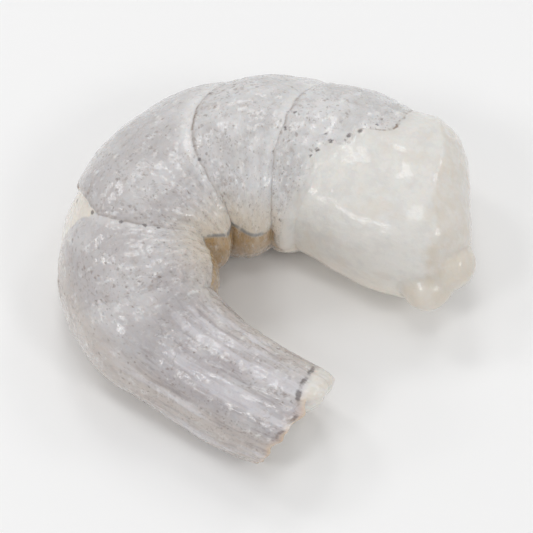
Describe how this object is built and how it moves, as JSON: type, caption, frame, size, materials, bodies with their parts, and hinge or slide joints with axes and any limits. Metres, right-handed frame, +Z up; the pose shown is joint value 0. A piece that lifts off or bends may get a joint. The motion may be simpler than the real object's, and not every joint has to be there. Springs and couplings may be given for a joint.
{
  "type": "peeled deveined shrimp",
  "caption": "Raw shrimp tail, peeled, deveined and cut blunt at both ends, lying on its side in a tight curl.",
  "frame": {"origin": "centre of the bounding box's bottom, on the surface it lies on", "axes": "+Z up from the flank it lies on, +X towards the side of the wide head end, -Y towards the side of the narrow tail end"},
  "size_m": [0.0528, 0.0542, 0.0183],
  "materials": {
    "flesh": "wet, pale grey to cream, slightly translucent"
  },
  "bodies": {
    "root": {"shrimp": "flesh"}
  },
  "joints": []
}
